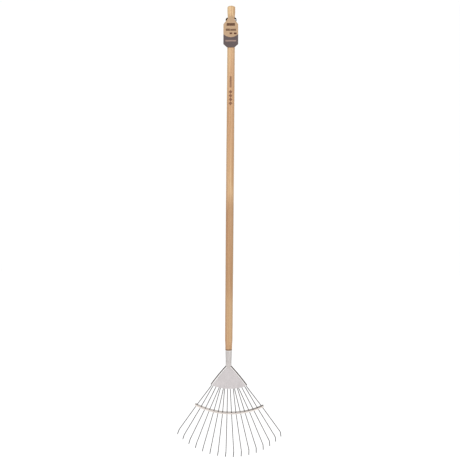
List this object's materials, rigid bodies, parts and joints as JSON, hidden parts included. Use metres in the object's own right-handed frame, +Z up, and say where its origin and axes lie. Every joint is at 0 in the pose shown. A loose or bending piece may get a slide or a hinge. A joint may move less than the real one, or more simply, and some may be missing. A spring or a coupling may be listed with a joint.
{
  "type": "lawn rake",
  "caption": "Long-handled lawn rake: a fan of hooked spring wire tines in a folded stainless head on a round ash shaft, with a swing tag on a tie.",
  "frame": {"origin": "on the shaft's axis, at the middle of the grip that a tool clip takes", "axes": "+Z up along the shaft to its rounded end, -Y to the front, where the hooks of the tines and the tag point, +X to the right as seen from the front"},
  "size_m": [0.3902, 0.1223, 1.6783],
  "materials": {
    "ash_wood": "satin lacquer over long grain",
    "satin_steel": "satin stainless sheet",
    "spring_wire": "drawn spring wire",
    "bar_steel": "satin stainless strip",
    "screw_steel": "bright screw head",
    "black_nylon": "moulded nylon",
    "kraft_card": "printed kraft card"
  },
  "bodies": {
    "rake": {"shaft": "ash_wood", "socket": "satin_steel", "socket_screw": "screw_steel", "back_plate": "satin_steel", "front_plate": "satin_steel", "anchor_rivets": "satin_steel", "tang_rivets": "satin_steel"},
    "tine_fan": {"tine_hairpin_left_1": "spring_wire", "tine_hairpin_left_2": "spring_wire", "tine_hairpin_left_3": "spring_wire", "tine_hairpin_left_4": "spring_wire", "tine_hairpin_right_1": "spring_wire", "tine_hairpin_right_2": "spring_wire", "tine_hairpin_right_3": "spring_wire", "tine_hairpin_right_4": "spring_wire", "spreader_bar": "bar_steel"},
    "tie": {"tag_tie": "black_nylon", "tie_lock": "black_nylon"},
    "tag": {"swing_tag": "kraft_card"}
  },
  "joints": [
    {"name": "tine_flex", "type": "hinge", "parent": "rake", "child": "tine_fan", "pos_m": [0, 0.02536, -1.04944], "axis": [1, 0, 0], "range_deg": [-2, 8], "stiffness_Nm_per_rad": 150, "deforming": ["tine_hairpin_left_1", "tine_hairpin_left_2", "tine_hairpin_left_3", "tine_hairpin_left_4", "tine_hairpin_right_1", "tine_hairpin_right_2", "tine_hairpin_right_3", "tine_hairpin_right_4"]},
    {"name": "tie_swing", "type": "hinge", "parent": "rake", "child": "tie", "pos_m": [0, 0, 0.313], "axis": [-1, 0, 0], "range_deg": [0, 22]},
    {"name": "tag_turn", "type": "hinge", "parent": "tie", "child": "tag", "pos_m": [0, -0.01776, 0.29415], "axis": [-1, 0, 0], "range_deg": [0, 8]}
  ]
}
